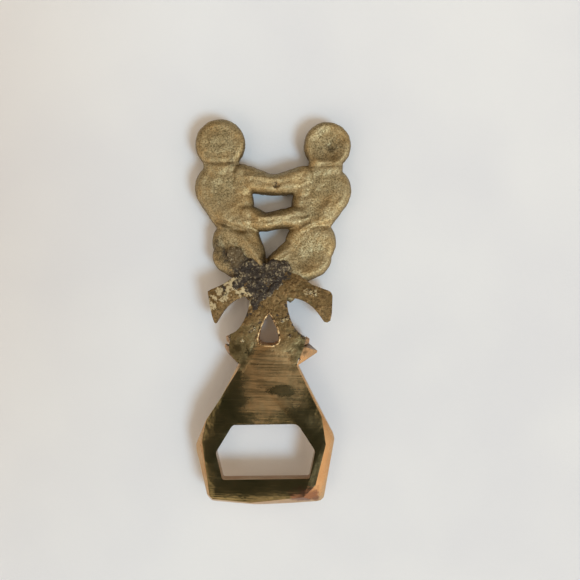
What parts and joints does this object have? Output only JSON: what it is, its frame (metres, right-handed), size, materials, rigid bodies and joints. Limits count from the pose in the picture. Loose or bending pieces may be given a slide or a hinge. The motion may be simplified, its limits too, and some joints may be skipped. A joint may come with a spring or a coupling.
{
  "type": "figural bottle opener",
  "caption": "Cast brass bottle opener: twin toddler figures with linked arms soldered to a flat plate with drooping arms, a ring hole and a blade with a crown cap window.",
  "frame": {"origin": "centre of the outline, on the table that the opener lies on face down", "axes": "+Y from the blade to the heads, +X to the right seen from the back, +Z out of the flat back face"},
  "size_m": [0.0508, 0.123, 0.0101],
  "materials": {
    "cast_brass": "rough sand cast",
    "plate_brass": "polished, tarnished",
    "burnt_solder": "burnt flux over solder",
    "bright_solder": "matte"
  },
  "bodies": {
    "root": {"figure_casting": "cast_brass", "opener_plate": "plate_brass", "solder_joint": "burnt_solder", "solder_spatter": "bright_solder"}
  },
  "joints": []
}
